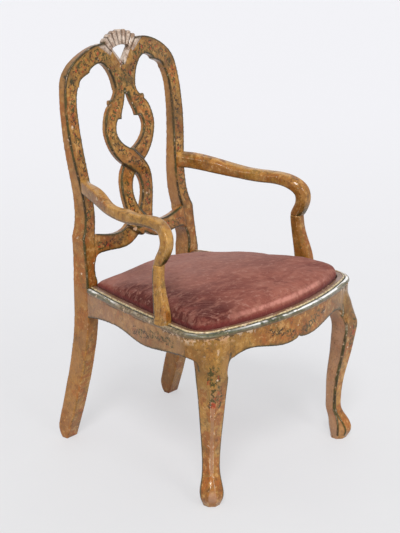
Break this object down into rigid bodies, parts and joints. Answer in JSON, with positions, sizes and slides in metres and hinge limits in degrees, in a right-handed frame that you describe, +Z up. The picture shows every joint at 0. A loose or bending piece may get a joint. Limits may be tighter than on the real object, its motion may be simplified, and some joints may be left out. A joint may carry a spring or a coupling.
{
  "type": "armchair",
  "caption": "Open armchair of carved and painted wood with an interlaced splat, cabriole front legs, scrolled arms and a loose velvet seat.",
  "frame": {"origin": "on the floor, under the middle of the overall width and depth", "axes": "+X to the sitter's left, -Y to the front, +Z up"},
  "size_m": [0.6044, 0.6152, 1.04],
  "materials": {
    "painted_wood": "aged ochre paint with dark green lines under worn varnish",
    "bare_wood": "bare beech, darkened",
    "iron": "dull, rusted",
    "webbing": "woven jute",
    "hessian": "coarse cloth",
    "stuffing": "hair stuffing under calico",
    "velvet": "worn rose velvet"
  },
  "bodies": {
    "chair_frame": {"rear_post_left": "painted_wood", "rear_post_right": "painted_wood", "crest_rail": "painted_wood", "back_splat": "painted_wood", "lower_back_rail": "painted_wood", "rear_seat_rail": "painted_wood", "front_seat_rail": "painted_wood", "side_seat_rail_left": "painted_wood", "side_seat_rail_right": "painted_wood", "front_leg_left": "painted_wood", "front_leg_right": "painted_wood", "arm_left": "painted_wood", "arm_right": "painted_wood", "arm_support_left": "painted_wood", "arm_support_right": "painted_wood", "corner_block_front_left": "bare_wood", "corner_block_front_right": "bare_wood", "corner_block_rear_left": "bare_wood", "corner_block_rear_right": "bare_wood", "joint_pegs": "bare_wood", "arm_support_screws": "iron"},
    "loose_seat": {"seat_frame_front": "bare_wood", "seat_frame_rear": "bare_wood", "seat_frame_left": "bare_wood", "seat_frame_right": "bare_wood", "seat_webbing": "webbing", "seat_hessian": "hessian", "seat_padding": "stuffing", "velvet_cover": "velvet", "cover_tacks": "iron", "dust_cover": "hessian"}
  },
  "joints": [
    {"name": "seat_lift", "type": "slide", "parent": "chair_frame", "child": "loose_seat", "axis": [0, 0, 1], "range_m": [0, 0.04]}
  ]
}
